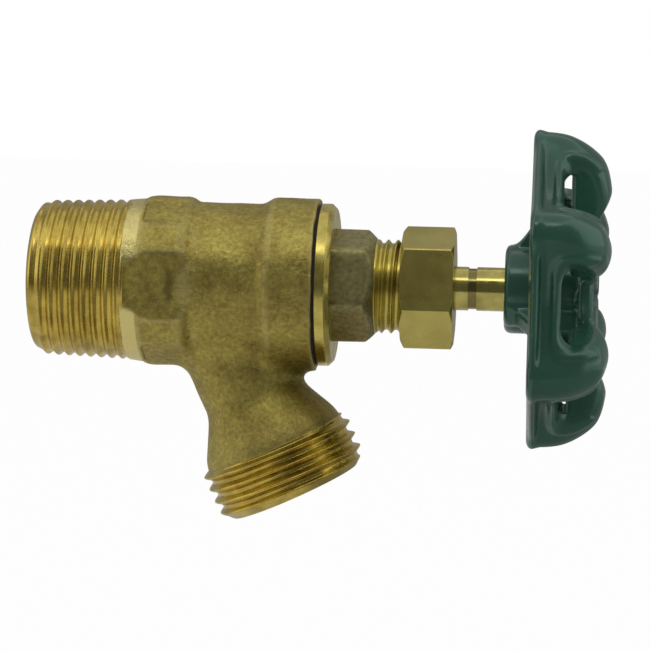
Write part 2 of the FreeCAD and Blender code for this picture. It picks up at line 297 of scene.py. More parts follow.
def smooth_min(a, b, k):
    """Smaller of two fields, with a round of size k where they meet."""
    h = np.clip(0.5 + 0.5 * (b - a) / k, 0, 1)
    return b + (a - b) * h - k * h * (1 - h)


def smooth_max(a, b, k):
    """Larger of two fields, with a round of size k where they meet."""
    return -smooth_min(-a, -b, k)


def folded(theta, copies, start):
    """Angle from the nearest of several evenly spaced directions."""
    step = TURN / copies
    return np.mod(theta - math.radians(start) + step / 2, step) - step / 2


def net_points(field, where):
    """One point in each crossed cell of a grid: the mean of its edges' crossings."""
    total = np.zeros((len(where), 3))
    hits = np.zeros(len(where))
    for axis in range(3):
        others = [a for a in range(3) if a != axis]
        for u, v in np.ndindex(2, 2):
            start = where.copy()
            start[:, others] += (u, v)
            stop = start.copy()
            stop[:, axis] += 1
            fa = field[tuple(start.T)]
            fb = field[tuple(stop.T)]
            crossed = (fa < 0) != (fb < 0)
            share = np.where(crossed, fa / np.where(crossed, fa - fb, 1), 0)
            point = start.astype(float)
            point[:, axis] += share
            total += point * crossed[:, None]
            hits += crossed
    return total / hits[:, None]


def net_quads(inside, number):
    """A quad across each crossed edge of a grid, joining the points of its four cells."""
    quads = []
    for axis in range(3):
        others = [a for a in range(3) if a != axis]
        head = [slice(1, -1)] * 3
        tail = [slice(1, -1)] * 3
        head[axis] = slice(0, -1)
        tail[axis] = slice(1, None)
        fa = inside[tuple(head)]
        fb = inside[tuple(tail)]
        for flip in (False, True):
            edges = np.argwhere((fa != fb) & (fa == flip))
            edges[:, others] += 1
            ring = []
            for back in ((0, 0), (1, 0), (1, 1), (0, 1)):
                cell = edges.copy()
                cell[:, others] -= back
                ring.append(number[tuple(cell.T)])
            quad = np.stack(ring, 1)
            if flip == (axis == 1):
                quad = quad[:, ::-1]
            quads.append(quad)
    return np.vstack(quads)


def surface_net(field, low, step):
    """Points and quads of the zero level of a field sampled on a grid."""
    inside = field < 0
    cells = np.array(field.shape) - 1
    corner_sum = np.zeros(cells, np.uint8)
    for i, j, k in np.ndindex(2, 2, 2):
        corner_sum += inside[i:cells[0] + i, j:cells[1] + j, k:cells[2] + k]
    where = np.argwhere((corner_sum > 0) & (corner_sum < 8))
    number = np.full(cells, -1, np.int64)
    number[tuple(where.T)] = np.arange(len(where))
    return low + net_points(field, where) * step, net_quads(inside, number)


def field_mesh(name, field, low, high, step, marks=(), rounds=3):
    """Mesh object of the zero level of a field, with its points drawn onto the exact surface.

    marks are pairs of a name and a function of the place, kept on the points for the material.
    """
    low = np.array(low, float)
    shape = np.ceil((np.array(high) - low) / step).astype(int) + 1
    axes = [low[a] + step * np.arange(shape[a]) for a in range(3)]
    grid = np.meshgrid(*axes, indexing="ij")
    points, quads = surface_net(field(*grid), low, step)
    reach = step * 0.5
    probe = step * 0.1
    least_slope = 0.25
    least_move = 1e-9
    for _ in range(rounds):
        rises = [field(*(points + shift).T) - field(*(points - shift).T) for shift in np.eye(3) * probe]
        slope = np.stack(rises, 1) / (2 * probe)
        length = np.maximum((slope ** 2).sum(1), least_slope)
        move = -(field(*points.T) / length)[:, None] * slope
        size = np.linalg.norm(move, axis=1, keepdims=True)
        points = points + move * np.minimum(1, reach / np.maximum(size, least_move))
    obj = mesh_object(name, points, quads)
    for mark, function in marks:
        layer = obj.data.attributes.new(mark, "FLOAT", "POINT")
        layer.data.foreach_set("value", function(*points.T).astype(np.float32))
    return obj


def bend(field, reach):
    """Function that is 1 on sharp outer edges of a field, 0 on flats and -1 in sharp hollows."""
    def measure(x, y, z):
        shifts = [side * row for row in np.eye(3) * reach for side in (1, -1)]
        total = sum(field(x + dx, y + dy, z + dz) for dx, dy, dz in shifts)
        return np.clip((total - 6 * field(x, y, z)) / reach ** 2, -1, 1)
    return measure


def mesh_object(name, points, faces):
    """Smooth-shaded object from points in millimetres and faces."""
    mesh = bpy.data.meshes.new(name)
    mesh.from_pydata((np.asarray(points) * MM).tolist(), [], np.asarray(faces).tolist())
    mesh.validate()
    mesh.shade_smooth()
    obj = bpy.data.objects.new(name, mesh)
    bpy.context.scene.collection.objects.link(obj)
    return obj


# Turned pieces

def arc_points(points, radius, steps=5):
    """Outline with each inner corner rounded by a curve. The first and last points stay.

    A corner that is nearly straight stays too, and no curve uses up more than its share of a side.
    """
    nearly_straight = math.radians(88)
    side_share = 0.45
    points = [np.array(p, float) for p in points]
    result = [points[0]]
    for before, corner, after in zip(points, points[1:], points[2:]):
        a = before - corner
        b = after - corner
        la = np.linalg.norm(a)
        lb = np.linalg.norm(b)
        cosine = np.clip(a @ b / (la * lb), -1, 1)
        half = math.acos(cosine) / 2
        if half > nearly_straight:
            result.append(corner)
            continue
        cut = min(radius / math.tan(half), la * side_share, lb * side_share)
        start = corner + a / la * cut
        stop = corner + b / lb * cut
        for t in np.linspace(0, 1, steps):
            result.append((1 - t) ** 2 * start + 2 * t * (1 - t) * corner + t ** 2 * stop)
    result.append(points[-1])
    return result


def refined(points, longest):
    """Outline with long runs divided."""
    result = [points[0]]
    for a, b in zip(points, points[1:]):
        parts = max(1, int(math.ceil(np.linalg.norm(np.subtract(b, a)) / longest)))
        for i in range(1, parts + 1):
            result.append(np.asarray(a) + (np.asarray(b) - a) * i / parts)
    return result


def even_angles(sides):
    """Evenly spaced angles round the axis."""
    return np.arange(sides) * TURN / sides


def turned_piece(name, outline, angles, change=None):
    """Closed ring-shaped piece about the X axis. change(x, r, theta) may alter the radii."""
    outline = np.array(outline)
    sides = len(angles)
    x = np.repeat(outline[:, 0:1], sides, 1)
    r = np.repeat(outline[:, 1:2], sides, 1)
    theta = np.repeat(angles[None, :], len(outline), 0)
    if change is not None:
        x, r = change(x, r, theta)
    points = np.stack([x, -r * np.cos(theta), r * np.sin(theta)], -1).reshape(-1, 3)
    rows = len(outline)
    i, j = np.meshgrid(np.arange(rows), np.arange(sides), indexing="ij")
    i2 = (i + 1) % rows
    j2 = (j + 1) % sides
    faces = np.stack([i * sides + j, i * sides + j2, i2 * sides + j2, i2 * sides + j], -1).reshape(-1, 4)
    return mesh_object(name, points, faces)


def thread_wave(phase, root, crest=0.06):
    """Thread height from 0 in the root to 1 on the crest, for a phase in turns.

    root and crest are the shares of the pitch that are flat.
    """
    tri = 1 - 2 * np.abs(phase - np.floor(phase) - 0.5)
    rise = np.clip((tri - root) / (1 - root - crest), 0, 1)
    return rise * rise * (3 - 2 * rise) * 0.5 + rise * 0.5


def hex_radius(theta, flats, turn, corner_round):
    """Polar radius of a hexagon with rounded corners."""
    local = folded(theta, 6, turn)
    here = flats / 2 / np.cos(local)
    other = flats / 2 / np.cos(TURN / 6 - np.abs(local))
    return smooth_min(here, other, corner_round)


# Casting

LEAN = math.radians(outlet_lean)


def outlet_frame(x, y, z):
    """Distance along the outlet axis and distance from it."""
    dx = x - outlet_foot_x
    s = dx * math.sin(LEAN) - z * math.cos(LEAN)
    across = dx * math.cos(LEAN) + z * math.sin(LEAN)
    return s, np.hypot(across, y)


def wrench_flats(x, y, z):
    """Field of the six flats. The ones at the sides start past the turned land."""
    result = np.abs(y) - wrench_front_flat
    land_end = wrench_x + land_length + flat_lift / 2
    start = flat_lift * np.clip((land_end - x) / flat_lift, 0, 1)
    for k in (1, 2):
        angle = k * TURN / 6
        plane = np.abs(y * math.cos(angle) + z * math.sin(angle)) - wrench_side_flat - start
        result = smooth_max(result, plane, wrench_round)
    return result


def wrench_turned(x, r):
    """Field of the turned land at the inlet end and of the rounded corners after it."""
    land = inlet_radius + inlet_taper * wrench_x + land_rise * (x - wrench_x) / land_length
    t = np.clip((x - wrench_x - land_length) / shoulder_length, 0, 1)
    return r - land - (wrench_corner - land) * np.sqrt(1 - (1 - t) ** 2)


def ripple(x, y, z):
    """Slow unevenness of a sand casting: three crossing waves."""
    return (0.05 * np.sin(x * 0.9 + 1.3 * np.sin(y * 0.7) + z * 0.35)
            + 0.04 * np.sin(y * 1.1 - 0.8 * np.sin(z * 0.9 + x * 0.5))
            + 0.035 * np.sin(z * 1.3 + 1.1 * np.sin(x * 1.1) + y * 0.6))


def wrench_field(x, y, z, r):
    """Field of the wrench section, which narrows into the barrel."""
    wrench = smooth_max(wrench_flats(x, y, z), wrench_turned(x, r), land_edge_round)
    steepness = (wrench_corner - barrel_radius) / wrench_fade
    fade = r - wrench_corner + (x - barrel_x + wrench_fade) * steepness
    wrench = smooth_max(wrench, fade * wrench_fade_scale, wrench_fade_round)
    return np.maximum(wrench, wrench_x - x)


def barrel_field(x, r):
    """Field of the round barrel, whose start hides in the wrench section."""
    start = (barrel_x - barrel_run_in - x) * barrel_start_slope
    return np.maximum(smooth_max(r - barrel_radius, start, barrel_fillet), x - collar_end_x)


def collar_field(x, r):
    """Field of the bonnet collar with its bevel."""
    foot_radius = collar_radius - collar_bevel
    bevel = r - (foot_radius + (x - collar_x) * collar_bevel / collar_bevel_length)
    collar = smooth_max(r - collar_radius, bevel * collar_bevel_scale, collar_bevel_round)
    return smooth_max(collar, x - collar_end_x, collar_end_round)


def neck_field(s, q):
    """Field of the outlet's neck, which flares towards the hose thread."""
    t = np.clip((s - flare_start) / (flare_end - flare_start), 0, 1)
    radius = neck_radius + (flare_radius - neck_radius) * t * t * (3 - 2 * t)
    neck = smooth_max((q - radius) * neck_scale, s - hose_start, neck_end_round)
    return np.maximum(neck, -s)


def casting_outside(x, y, z):
    """Field of the outer surface of the casting."""
    r = np.hypot(y, z)
    solid = smooth_min(wrench_field(x, y, z, r), barrel_field(x, r), barrel_fillet)
    solid = smooth_min(solid, collar_field(x, r), barrel_fillet)
    forward = np.clip((x - neck_back_x) / (neck_front_x - neck_back_x), 0, 1)
    fillet = neck_back_fillet + (neck_front_fillet - neck_back_fillet) * forward
    return smooth_min(solid, neck_field(*outlet_frame(x, y, z)), fillet)


def machined_mark(x, y, z):
    """1 on the turned land next to the pipe thread, 0 on the rough casting."""
    edge = (wrench_turned(x, np.hypot(y, z)) - wrench_flats(x, y, z)) / mark_blur
    end = (wrench_x + land_length - x) / mark_end_blur
    return np.clip(edge + 0.5, 0, 1) * np.clip(end + 0.5, 0, 1)


def casting_field(x, y, z):
    """Field of the casting with its hollows."""
    solid = casting_outside(x, y, z) + ripple_share * ripple(x, y, z)
    r = np.hypot(y, z)
    s, q = outlet_frame(x, y, z)
    waterway = smooth_max(r - inlet_bore, x - inlet_bore_depth, inlet_bore_round)
    orifice = np.maximum(r - orifice_radius, x - seat_x - orifice_overrun)
    chamber = np.maximum(r - chamber_radius, seat_x - x)
    lip = np.maximum(np.maximum(r - seat_lip_radius, orifice_radius - r), x - seat_x - seat_lip_height)
    chamber = np.maximum(chamber, -lip)
    socket = np.maximum(r - socket_radius, socket_x - x)
    passage = np.maximum(q - passage_radius, np.maximum(seat_x - x, -s))
    mouth = np.maximum(q - mouth_radius, outlet_reach - mouth_depth - s)
    hollow = np.minimum(np.minimum(waterway, orifice), np.minimum(chamber, socket))
    hollow = np.minimum(hollow, smooth_min(passage, mouth, passage_round))
    return smooth_max(solid, -hollow, hollow_edge_round)


def place_piece(obj, node, body):
    """Hides the CAD node that a piece replaces and puts the piece under the moving body it belongs to."""
    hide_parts(node)
    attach(obj, body)
    return obj


def make_casting():
    """Wrench section, barrel, collar and neck as one rough casting."""
    step = 0.36
    half = casting_half_width
    obj = field_mesh("body_casting", casting_field,
                     (wrench_x - casting_margin, -half, casting_low_z), (casting_high_x, half, half), step,
                     (("machined", machined_mark), ("edge", bend(casting_outside, edge_reach))))
    return place_piece(obj, "body", "valve_body")


def make_inlet_thread():
    """Tapered pipe thread with its bore."""
    end_x = inlet_length + inlet_overlap
    face_radius = inlet_radius - inlet_round
    bore = inlet_bore + hair
    inner_break = inlet_bore_chamfer * 0.3

    def crest(x):
        t = np.clip(x / inlet_round_length, 0, 1)
        return inlet_radius + inlet_taper * x - inlet_round * (1 - np.sqrt(1 - (1 - t) ** 2))

    def cut(x, r, theta):
        height = thread_wave(x / inlet_pitch - theta / TURN + inlet_phase, inlet_root)
        run_out = np.clip((inlet_length + inlet_overlap / 2 - x) / inlet_run_out, 0, 1)
        run_in = np.clip(inlet_first_share + (1 - inlet_first_share) * x / inlet_round_length, 0, 1)
        threaded = crest(x) - inlet_thread_depth * run_out * run_in * (1 - height)
        return x, np.where((r > inlet_bore + bore_margin) & (x > 0), threaded, r)

    steps = 22
    rows = int(inlet_length / inlet_pitch * steps)
    outer = [(inlet_first_x + (end_x - inlet_first_x) * i / rows, inlet_radius) for i in range(rows + 1)]
    outline = [
        (0.0, inlet_bore + inlet_bore_chamfer),
        (0.0, face_radius - edge_break),
        (edge_break - hair, face_radius - hair),
        *outer,
        (end_x, inlet_radius),
        (end_x, bore),
        (inlet_bore_chamfer, bore),
        (inner_break, inlet_bore + inner_break),
    ]
    obj = turned_piece("inlet_thread", outline, even_angles(thread_sides), cut)
    return place_piece(obj, "body", "valve_body")


def outlet_matrix():
    """Matrix that lays a piece made about X along the outlet axis, with X as distance down it."""
    down = (math.sin(LEAN), 0, -math.cos(LEAN), 0)
    side = (math.cos(LEAN), 0, math.sin(LEAN), 0)
    away = (0, 1, 0, 0)
    foot = (outlet_foot_x * MM, 0, 0, 1)
    return Matrix((down, side, away, foot)).transposed()


def make_hose_thread():
    """Parallel hose thread with the outlet's mouth."""
    start_x = hose_start - hose_overlap
    rim_radius = hose_radius - hose_chamfer
    bore = mouth_radius - hair

    def cut(x, r, theta):
        height = thread_wave((x - hose_start) / hose_pitch + theta / TURN + hose_phase, hose_root)
        rim = rim_radius + (outlet_reach - x) * hose_chamfer_slope
        lead = flare_radius - hose_lead_drop + (x - hose_start + hose_lead) * hose_lead_slope
        threaded = hose_radius - hose_thread_depth * (1 - height)
        threaded = smooth_min(threaded, rim, hose_chamfer_round)
        threaded = smooth_min(threaded, lead, hose_lead_round)
        return x, np.where(r > mouth_radius + bore_margin, threaded, r)

    steps = 24
    length = outlet_reach - start_x
    rows = int(length / hose_pitch * steps)
    outer = [(start_x + (length - hair) * i / rows, hose_radius) for i in range(rows + 1)]
    outline = [
        (start_x, bore),
        *outer,
        (outlet_reach, rim_radius),
        (outlet_reach, mouth_radius + mouth_chamfer),
        (outlet_reach - mouth_chamfer, bore),
    ]
    obj = turned_piece("hose_thread", outline[::-1], even_angles(thread_sides), cut)
    obj.data.transform(outlet_matrix())
    return place_piece(obj, "body", "valve_body")


# Bonnet, nut and stem

def hex_angles(turn, sides=240, pull=0.09):
    """Angles round the axis, pulled closer together at the corners of a hexagon."""
    base = np.arange(sides) / sides * 6
    part = base - np.floor(base)
    eased = part + pull * np.sin(TURN * part)
    return (np.floor(base) + eased) * TURN / 6 + math.radians(turn)


def make_bonnet_flange():
    """Bright turned flange ring with the shank inside the collar."""
    face = arc_points([
        (flange_x + flange_relief, socket_radius - flange_foot_gap),
        (flange_x, flange_radius - edge_break / 2),
        (flange_x + hair, flange_radius),
        (bonnet_hex_x - flange_chamfer, flange_radius),
        (bonnet_hex_x, flange_radius - flange_chamfer),
        (bonnet_hex_x, flange_face_radius),
    ], flange_round)
    shank_radius = socket_radius - shank_gap
    outline = refined(face, longest=0.5) + [
        np.array((bonnet_hex_x, recess_radius)),
        np.array((shank_x, recess_radius)),
        np.array((shank_x, shank_radius)),
        np.array((flange_x + flange_relief, shank_radius)),
    ]
    obj = turned_piece("bonnet_flange", outline, even_angles(turned_sides))
    return place_piece(obj, "bonnet", "valve_body")


def make_bonnet_hexagon():
    """Dull wrench hexagon and the slope that follows it."""
    def cut(x, r, theta):
        hexagon = hex_radius(theta, bonnet_hex_flats, bonnet_hex_turn, bonnet_hex_round)
        shaped = smooth_min(hexagon, r, bonnet_hex_round)
        return x, np.where(r > bonnet_hex_bore + bonnet_hex_round, shaped, r)

    foot_x = bonnet_hex_x - bonnet_hex_sink
    end_x = bonnet_thread_x + edge_break
    outline = arc_points([
        (foot_x, bonnet_hex_bore),
        (foot_x, bonnet_hex_foot_corner),
        (bonnet_slope_x, bonnet_hex_end_corner),
        (end_x, bonnet_thread_radius + edge_break),
        (end_x, bonnet_hex_bore),
    ], bonnet_hex_round)
    obj = turned_piece("bonnet_hexagon", refined(outline, longest=0.35), hex_angles(bonnet_hex_turn), cut)
    return place_piece(obj, "bonnet", "valve_body")


def make_bonnet_thread():
    """Male thread on which the packing nut sits."""
    def cut(x, r, theta):
        height = thread_wave((x - bonnet_thread_x) / bonnet_pitch - theta / TURN + bonnet_phase, bonnet_root)
        run_in = np.clip((x - bonnet_thread_x - bonnet_first_x) / bonnet_run_in, 0, 1)
        threaded = bonnet_thread_radius - bonnet_thread_depth * run_in * (1 - height)
        return x, np.where(r > bonnet_thread_bore + bore_margin, np.minimum(threaded, r), r)

    start_x = bonnet_thread_x - bonnet_thread_overlap
    length = bonnet_end_x - bonnet_end_bevel - start_x
    rows = 110
    outer = [(start_x + length * i / rows, bonnet_thread_radius) for i in range(rows + 1)]
    outline = [
        (start_x, bonnet_thread_bore),
        *outer,
        (bonnet_end_x, bonnet_thread_radius - bonnet_thread_depth),
        (bonnet_end_x, bonnet_thread_bore),
    ]
    obj = turned_piece("bonnet_thread", outline, even_angles(turned_sides), cut)
    return place_piece(obj, "bonnet", "valve_body")


def make_nut():
    """Packing nut: bright hexagon with turned chamfers at both ends."""
    corner = nut_flats / 2 / math.cos(TURN / 12)
    blank = corner + nut_blank_allowance
    bore = bonnet_thread_radius + nut_gap
    stem_hole = stem_radius + stem_gap

    def cut(x, r, theta):
        hexagon = hex_radius(theta, nut_flats, nut_turn, nut_corner_round)
        shaped = smooth_min(hexagon, r, nut_chamfer_round)
        return x, np.where(r > nut_face_radius, shaped, r)

    outline = arc_points([
        (nut_x + nut_thread_length, bore),
        (nut_x + nut_bore_chamfer_length, bore),
        (nut_x, bonnet_thread_radius + nut_bore_chamfer),
        (nut_x, corner - nut_back_chamfer),
        (nut_x + nut_back_chamfer_length, blank),
        (nut_end_x - nut_front_chamfer_length, blank),
        (nut_end_x, corner - nut_front_chamfer),
        (nut_end_x, stem_radius + stem_hole_chamfer),
        (nut_end_x - stem_hole_chamfer_length, stem_hole),
        (nut_end_x - nut_cap, stem_hole),
        (nut_end_x - nut_cap, bore),
    ], nut_edge_round)
    obj = turned_piece("packing_nut_shell", refined(outline, longest=0.3), hex_angles(nut_turn), cut)
    return place_piece(obj, "packing_nut", "valve_body")


# Handwheel

def window_side(along, across):
    """Distance field across one window, in the wedge between two spokes."""
    half = window_foot_width + (along - window_inner_radius) * window_spread
    wedge = (np.abs(across) - half) * math.cos(math.atan(window_spread))
    return smooth_max(wedge, np.abs(across) - window_half_width, window_side_round)


def wheel_outline_field(rho, theta, waist):
    """Field of the six-lobed outline in the plane of the wheel, waist being its least radius."""
    half_step = TURN / wheel_lobes / 2
    local = folded(theta, wheel_lobes, wheel_turn + 180 / wheel_lobes)
    u = rho * np.cos(local)
    v = np.abs(rho * np.sin(local))
    lobe_centre = wheel_radius - lobe_radius
    gain = lobe_centre * math.cos(half_step)
    spread = lobe_centre ** 2 + waist ** 2 - 2 * gain * waist - lobe_radius ** 2
    hollow = spread / 2 / (lobe_radius + gain - waist)
    centre = waist + hollow
    cu = centre * math.cos(half_step)
    cv = centre * math.sin(half_step)
    lobe = np.hypot(u - lobe_centre, v) - lobe_radius
    scoop = hollow - np.hypot(u - cu, v - cv)
    edge_u = lobe_centre + (cu - lobe_centre) * lobe_radius / (lobe_radius + hollow)
    edge_v = cv * lobe_radius / (lobe_radius + hollow)
    beyond = (u - lobe_centre) * edge_v - v * (edge_u - lobe_centre)
    return np.where(beyond > 0, lobe, scoop)


def bell_field(x, rho, inset, wall):
    """Field of the bell's profile, sunk between the spokes by inset and inside it by wall."""
    front = wheel_front_x + crest_allowance
    centre_x = front - dome_setback
    centre_r = wheel_radius - dome_radius
    dome = np.where(x > centre_x, np.hypot(x - centre_x, rho - centre_r), rho - centre_r)
    dome = np.where((rho < centre_r) & (x > centre_x), x - centre_x, dome) - (dome_radius - inset - wall)
    face = x - (front - inset - wall) + np.maximum(rho - crest_radius, 0) * crest_fall
    floor = x - (front - dish_depth - wall)
    slope = math.atan2(dish_depth, dish_rise)
    rise = floor * math.cos(slope) - (rho - dish_radius) * math.sin(slope)
    dish = smooth_min(floor, rise, dish_round)
    return smooth_max(smooth_max(dome, face, face_round), dish, face_round)


def spoke_inset(rho, theta):
    """How far the bell's front is sunk: nothing on the crests of the spokes, most between them."""
    angle = folded(theta, wheel_lobes, wheel_turn + 180 / wheel_lobes)
    across = rho * np.sin(angle)
    crown = knuckle_foot_radius + (rho - window_inner_radius) * knuckle_spread
    crown = np.clip(crown, knuckle_least_radius, knuckle_radius)
    knuckle = crown - np.sqrt(np.maximum(crown ** 2 - across ** 2, knuckle_flank))
    return smooth_min(knuckle, valley_depth, valley_round)


def wheel_shell(x, rho, theta, inset):
    """Field of the hollow bell with its lip, still without windows."""
    skirt = wheel_outline_field(rho, theta, wheel_radius - skirt_waist)
    outer = smooth_max(skirt, bell_field(x, rho, inset, 0), skirt_round)
    lip = wheel_outline_field(rho, theta, wheel_radius - lip_waist)
    lip = smooth_max(lip, np.abs(x - rim_x - lip_width / 2) - lip_width / 2, lip_round)
    outer = smooth_min(outer, lip, lip_fillet)
    outer = smooth_max(outer, rim_x - x, rim_round)
    inner = smooth_max(skirt + wheel_wall, bell_field(x, rho, inset, wheel_wall), inner_round)
    under = rim_x + disc_step - spoke_step * np.clip((rho - disc_radius) / spoke_run, 0, 1)
    inner = smooth_max(inner, x - under, disc_round)
    return outer, smooth_max(outer, -inner, wall_round)


def wheel_with_windows(x, rho, theta, inset):
    """Field of the bell with its six windows and the bead round each of them."""
    outer, shell = wheel_shell(x, rho, theta, inset)
    angle = folded(theta, wheel_lobes, wheel_turn)
    along = rho * np.cos(angle)
    across = rho * np.sin(angle)
    opening = smooth_max(window_side(along, across), rim_x + window_step - x, window_end_round)
    opening = smooth_max(opening, window_inner_radius - rho, window_foot_round)
    bead = np.hypot(opening - bead_radius, outer + bead_sink) - bead_radius
    bead = np.maximum(bead, bead_start - along)
    shell = smooth_min(shell, bead, bead_fillet)
    return smooth_max(shell, -opening, window_edge_round)


def wheel_rib(x, rho, theta, inset):
    """Field of the three ribs that run from the hub to the inside of the bell."""
    angle = folded(theta, wheel_ribs, wheel_turn + 90)
    across = np.abs(rho * np.sin(angle))
    along = rho * np.cos(angle)
    foot_x = hub_x + rib_first_x
    foot = np.clip((x - foot_x) / (rim_x - foot_x), 0, 1)
    rise = hub_radius + (rib_foot_radius - hub_radius) * foot ** rib_curve
    rise = np.where(x > rim_x, rib_foot_radius + (x - rim_x) * rib_slope, rise)
    rib = smooth_max(across - rib_half_width, along - rise, rib_round)
    rib = np.maximum(rib, -along)
    rib = smooth_max(rib, hub_x + rib_hub_gap - x, rib_round)
    rib = smooth_max(rib, bell_field(x, rho, inset, rib_sink), rib_round)
    return smooth_max(rib, rho - rib_end_radius, rib_round)


def wheel_field(x, y, z):
    """Field of the whole handwheel."""
    rho = np.hypot(y, z)
    theta = np.arctan2(z, -y)
    inset = spoke_inset(rho, theta)
    hub = smooth_max(rho - hub_radius, hub_x - x, hub_round)
    hub = np.maximum(hub, x - (wheel_front_x - dish_depth))
    wheel = smooth_min(wheel_with_windows(x, rho, theta, inset), hub, hub_fillet)
    wheel = smooth_min(wheel, wheel_rib(x, rho, theta, inset), rib_fillet)
    pocket = np.maximum(rho - pocket_radius, hub_x + pocket_floor - x)
    stem_hole = np.maximum(rho - stem_hole_radius, x - hub_x - stem_hole_depth)
    return smooth_max(wheel, -np.minimum(pocket, stem_hole), pocket_round)


def make_handwheel():
    """Cast wheel with softly rounded lobes, windows, hub and ribs."""
    step = 0.34
    margin = 1
    reach = wheel_radius + margin
    obj = field_mesh("handwheel_casting", wheel_field,
                     (hub_x - margin, -reach, -reach), (wheel_front_x + margin, reach, reach), step)
    return place_piece(obj, "handwheel", "stem_and_wheel")


# Materials

def linear(red, green, blue):
    """Colour given as display values from 0 to 255."""
    def channel(value):
        value = value / 255
        return value / 12.92 if value <= 0.04045 else ((value + 0.055) / 1.055) ** 2.4
    return (channel(red), channel(green), channel(blue), 1)


def new_node(tree, kind, inputs=None, **settings):
    """New node of a tree, with its settings and with constants on some of its inputs."""
    node = tree.nodes.new(kind)
    for key, value in settings.items():
        setattr(node, key, value)
    for key, value in (inputs or {}).items():
        node.inputs[key].default_value = value
    return node


class Nodes:
    """Short hand for building one material. Scales are per metre of the object's own place."""

    def __init__(self, name, metal):
        self.material = bpy.data.materials.new(name)
        self.material.use_nodes = True
        self.tree = self.material.node_tree
        self.shader = self.tree.nodes["Principled BSDF"]
        self.shader.inputs["Metallic"].default_value = metal
        self.place = self.add("ShaderNodeTexCoord").outputs["Object"]

    def add(self, kind, inputs=None, **settings):
        return new_node(self.tree, kind, inputs, **settings)

    def link(self, source, target):
        self.tree.links.new(source, target)

    def finish(self, colour, roughness, normal):
        """Joins the three sockets to the shader and gives the material."""
        self.link(colour, self.shader.inputs["Base Color"])
        self.link(roughness, self.shader.inputs["Roughness"])
        self.link(normal, self.shader.inputs["Normal"])
        return self.material

    def noise(self, scale, detail=4.0, rough=0.55, stretch=None):
        """Noise from about 0.3 to 0.7, finer along an axis where stretch is larger."""
        node = self.add("ShaderNodeTexNoise", {"Scale": scale, "Detail": detail, "Roughness": rough})
        place = self.place
        if stretch is not None:
            mapping = self.add("ShaderNodeMapping", {"Scale": stretch})
            self.link(place, mapping.inputs["Vector"])
            place = mapping.outputs["Vector"]
        self.link(place, node.inputs["Vector"])
        return node.outputs["Fac"]

    def ramp(self, source, stops):
        """Colour that runs through stops, each a place from 0 to 1 and a colour."""
        node = self.add("ShaderNodeValToRGB")
        ramp = node.color_ramp
        while len(ramp.elements) < len(stops):
            ramp.elements.new(0.5)
        for element, (place, colour) in zip(ramp.elements, stops):
            element.position = place
            element.color = colour
        self.link(source, node.inputs["Fac"])
        return node.outputs["Color"]

    def spread(self, source, low, high, from_low=0.3, from_high=0.7):
        """Value that runs from low to high while the source runs from from_low to from_high."""
        node = self.add("ShaderNodeMapRange", {
            "From Min": from_low, "From Max": from_high, "To Min": low, "To Max": high,
        })
        self.link(source, node.inputs["Value"])
        return node.outputs["Result"]

    def mark(self, name):
        """Value kept on the mesh's points under a name."""
        return self.add("ShaderNodeAttribute", attribute_name=name).outputs["Fac"]

    def mix(self, first, second, share, blend="MIX"):
        """Colour made of two, each a socket or a constant."""
        node = self.add("ShaderNodeMix", data_type="RGBA", blend_type=blend)
        for value, target in ((share, node.inputs[0]), (first, node.inputs[6]), (second, node.inputs[7])):
            if isinstance(value, bpy.types.NodeSocket):
                self.link(value, target)
            else:
                target.default_value = value
        return node.outputs[2]

    def spread_between(self, share, first, last):
        """Value that runs from a socket's at share 0 to a constant at share 1."""
        node = self.add("ShaderNodeMix", data_type="FLOAT")
        self.link(share, node.inputs[0])
        self.link(first, node.inputs[2])
        node.inputs[3].default_value = last
        return node.outputs[0]

    def bump(self, source, strength, distance, under=None):
        """Normal with relief of a height in metres, on top of another one where given."""
        node = self.add("ShaderNodeBump", {"Strength": strength, "Distance": distance})
        self.link(source, node.inputs["Height"])
        if under is not None:
            self.link(under, node.inputs["Normal"])
        return node.outputs["Normal"]


def cast_brass():
    """Sand-cast brass: dull metal with a fine grain, paler on outer edges from wear and a painted highlight,
    darker in hollows from painted shade, and bright where turned.
    """
    n = Nodes("cast_brass_finish", 1.0)
    grain_tones = [(0.3, linear(158, 143, 80)), (0.5, linear(181, 167, 92)), (0.7, linear(204, 190, 105))]
    patch_tones = [(0.35, linear(222, 214, 208)), (0.65, linear(255, 254, 244))]
    # Pale colour for outer edges: partly wear, partly a painted highlight.
    worn_edge_and_highlight = linear(206, 192, 128)
    # Dark colour for hollows: painted shade.
    painted_hollow_shade = linear(70, 58, 38)
    bright = linear(230, 214, 140)
    bright_roughness = 0.3

    colour = n.ramp(n.noise(1500.0, detail=5.0, rough=0.6), grain_tones)
    patch = n.ramp(n.noise(150.0, rough=0.65), patch_tones)
    colour = n.mix(colour, patch, 1.0, "MULTIPLY")
    edge = n.mark("edge")
    # Outer edges made paler: wear together with a painted highlight.
    colour = n.mix(colour, worn_edge_and_highlight, n.spread(edge, 0.0, 0.6, from_low=0.1, from_high=0.9))
    # Hollows and creases made darker: painted shade.
    colour = n.mix(colour, painted_hollow_shade, n.spread(edge, 0.0, 0.5, from_low=-0.15, from_high=-0.8))
    turned = n.mark("machined")
    colour = n.mix(colour, bright, n.spread(turned, 0.0, 0.9, from_low=0.0, from_high=1.0))
    rough = n.spread(n.noise(900.0, detail=3.0), 0.42, 0.56)
    coarse = n.bump(n.noise(1000.0, rough=0.6), strength=0.45, distance=0.00028)
    fine = n.bump(n.noise(3000.0, detail=3.0, rough=0.6), strength=0.55, distance=0.00012, under=coarse)
    return n.finish(colour, n.spread_between(turned, rough, bright_roughness), fine)


